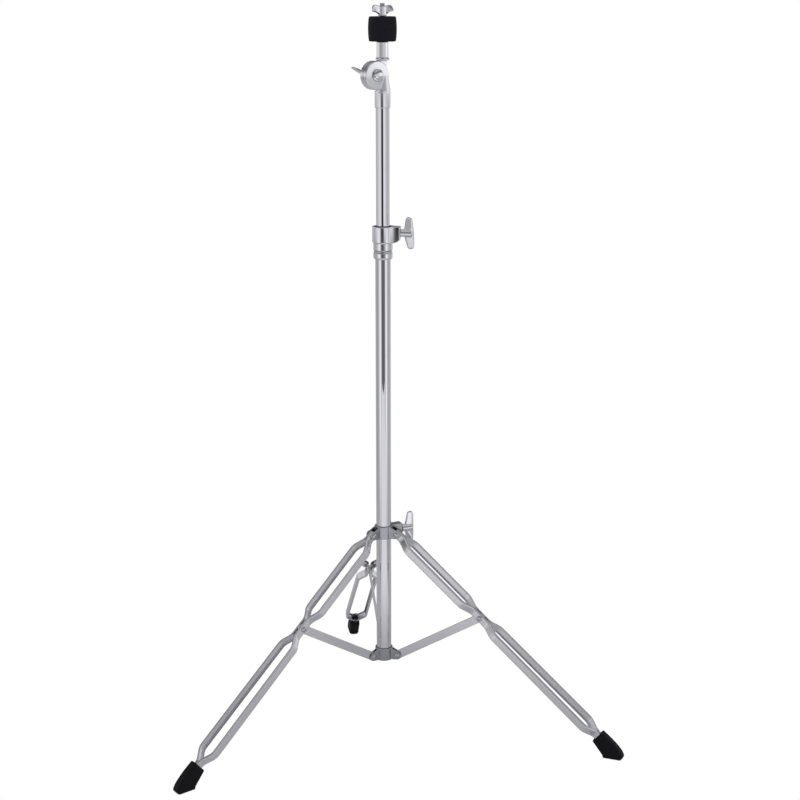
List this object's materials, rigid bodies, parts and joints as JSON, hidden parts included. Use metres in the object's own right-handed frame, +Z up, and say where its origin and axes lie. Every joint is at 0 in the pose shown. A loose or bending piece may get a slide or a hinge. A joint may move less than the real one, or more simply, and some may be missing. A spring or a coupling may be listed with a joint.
{
  "type": "straight cymbal stand",
  "caption": "Straight cymbal stand: telescoping chromed tube on a folding double-braced tripod, with a tilter, felts and wing nut on top.",
  "frame": {"origin": "on the floor, at the centre of the bounding box of the stand with its legs open; the tube's axis is 103.2 mm from it towards -Y", "axes": "+Z up along the tube, +Y along the rear leg, +X to the right seen from the front"},
  "size_m": [0.7524, 0.6526, 1.2288],
  "materials": {
    "chrome_tube": "mirror chrome on drawn steel tube",
    "chrome_cast": "chrome on zinc castings, slightly soft edges",
    "chrome_strap": "chrome on pressed steel strip, softer reflections",
    "plated_steel": "bright zinc plated steel",
    "nylon": "satin moulded nylon",
    "rubber": "matte moulded rubber",
    "felt": "dense black pressed wool felt"
  },
  "bodies": {
    "lower_mast": {"lower_tube": "chrome_tube", "lower_collar": "chrome_cast", "lower_collar_pin": "plated_steel", "stay_rivet_1": "plated_steel", "stay_rivet_2": "plated_steel", "stay_rivet_3": "plated_steel", "height_clamp": "chrome_cast", "height_clamp_pin": "plated_steel", "clamp_bush": "nylon"},
    "leg_slider": {"leg_collar": "chrome_cast", "leg_rivet_1": "plated_steel", "leg_rivet_2": "plated_steel", "leg_rivet_3": "plated_steel"},
    "leg_lock": {"leg_lock_wing_bolt": "chrome_cast"},
    "leg_1": {"leg_1_strap_left": "chrome_strap", "leg_1_strap_right": "chrome_strap", "leg_1_brace_rivet_left": "plated_steel", "leg_1_brace_rivet_right": "plated_steel", "leg_1_foot_rivet": "plated_steel", "rubber_foot_1": "rubber"},
    "leg_2": {"leg_2_strap_left": "chrome_strap", "leg_2_strap_right": "chrome_strap", "leg_2_brace_rivet_left": "plated_steel", "leg_2_brace_rivet_right": "plated_steel", "leg_2_foot_rivet": "plated_steel", "rubber_foot_2": "rubber"},
    "leg_3": {"leg_3_strap_left": "chrome_strap", "leg_3_strap_right": "chrome_strap", "leg_3_brace_rivet_left": "plated_steel", "leg_3_brace_rivet_right": "plated_steel", "leg_3_foot_rivet": "plated_steel", "rubber_foot_3": "rubber"},
    "stay_arm_1": {"stay_1": "chrome_strap"},
    "stay_arm_2": {"stay_2": "chrome_strap"},
    "stay_arm_3": {"stay_3": "chrome_strap"},
    "height_lock": {"clamp_wing_bolt": "chrome_cast"},
    "mast_guide": {"tube_guide": "nylon"},
    "upper_mast": {"upper_tube": "chrome_tube", "tilter_base": "chrome_cast", "tilter_pin": "plated_steel", "tilter_bolt": "chrome_cast"},
    "tilt_lock": {"tilter_wing_nut": "chrome_cast"},
    "cymbal_seat": {"tilter_head": "chrome_cast", "cymbal_stud": "plated_steel", "cymbal_sleeve": "nylon", "lower_felt": "felt"},
    "cymbal_clamp": {"upper_felt": "felt"},
    "cymbal_nut": {"top_wing_nut": "chrome_cast"}
  },
  "joints": [
    {"name": "leg_collar_slide", "type": "slide", "parent": "lower_mast", "child": "leg_slider", "axis": [0, 0, 1], "range_m": [0, 0.1533]},
    {"name": "leg_lock_turn", "type": "hinge", "parent": "leg_slider", "child": "leg_lock", "pos_m": [0, -0.10324, 0.35185], "axis": [0.9613, 0.2756, 0], "continuous": true},
    {"name": "leg_1_fold", "type": "hinge", "parent": "leg_slider", "child": "leg_1", "pos_m": [0, -0.07824, 0.34935], "axis": [-1, 0, 0], "range_deg": [0, 47.1]},
    {"name": "leg_2_fold", "type": "hinge", "parent": "leg_slider", "child": "leg_2", "pos_m": [-0.02165, -0.11574, 0.34935], "axis": [0.5, -0.866, 0], "range_deg": [0, 47.1]},
    {"name": "leg_3_fold", "type": "hinge", "parent": "leg_slider", "child": "leg_3", "pos_m": [0.02165, -0.11574, 0.34935], "axis": [0.5, 0.866, 0], "range_deg": [0, 47.1]},
    {"name": "stay_1_fold", "type": "hinge", "parent": "lower_mast", "child": "stay_arm_1", "pos_m": [0, -0.07824, 0.1275], "axis": [1, 0, 0], "range_deg": [0, 56.7]},
    {"name": "stay_2_fold", "type": "hinge", "parent": "lower_mast", "child": "stay_arm_2", "pos_m": [-0.02165, -0.11574, 0.1275], "axis": [-0.5, 0.866, 0], "range_deg": [0, 56.7]},
    {"name": "stay_3_fold", "type": "hinge", "parent": "lower_mast", "child": "stay_arm_3", "pos_m": [0.02165, -0.11574, 0.1275], "axis": [-0.5, -0.866, 0], "range_deg": [0, 56.7]},
    {"name": "height_lock_turn", "type": "hinge", "parent": "lower_mast", "child": "height_lock", "pos_m": [0, -0.10324, 0.865], "axis": [0.9397, -0.342, 0], "continuous": true},
    {"name": "height_slide", "type": "slide", "parent": "lower_mast", "child": "mast_guide", "axis": [0, 0, 1], "range_m": [-0.188, 0.28]},
    {"name": "mast_swivel", "type": "hinge", "parent": "mast_guide", "child": "upper_mast", "pos_m": [0, -0.10324, 0.8], "axis": [0, 0, 1], "continuous": true},
    {"name": "tilt_lock_turn", "type": "hinge", "parent": "upper_mast", "child": "tilt_lock", "pos_m": [-0.01413, -0.11075, 1.1172], "axis": [0.4695, -0.8829, 0], "continuous": true},
    {"name": "cymbal_tilt", "type": "hinge", "parent": "upper_mast", "child": "cymbal_seat", "pos_m": [-0.01413, -0.11075, 1.1172], "axis": [0.4695, -0.8829, 0], "range_deg": [-70, 165]},
    {"name": "cymbal_clamp_slide", "type": "slide", "parent": "cymbal_seat", "child": "cymbal_clamp", "axis": [0, 0, 1], "range_m": [0, 0.012]},
    {"name": "cymbal_nut_turn", "type": "hinge", "parent": "cymbal_clamp", "child": "cymbal_nut", "pos_m": [0, -0.10324, 1.215], "axis": [0, 0, 1], "continuous": true}
  ],
  "couplings": [
    {"joint": "leg_1_fold", "follows": "leg_collar_slide", "rad_per_m": 5.3499},
    {"joint": "leg_2_fold", "follows": "leg_collar_slide", "rad_per_m": 5.3499},
    {"joint": "leg_3_fold", "follows": "leg_collar_slide", "rad_per_m": 5.3499},
    {"joint": "stay_1_fold", "follows": "leg_collar_slide", "rad_per_m": 6.4418},
    {"joint": "stay_2_fold", "follows": "leg_collar_slide", "rad_per_m": 6.4418},
    {"joint": "stay_3_fold", "follows": "leg_collar_slide", "rad_per_m": 6.4418}
  ]
}
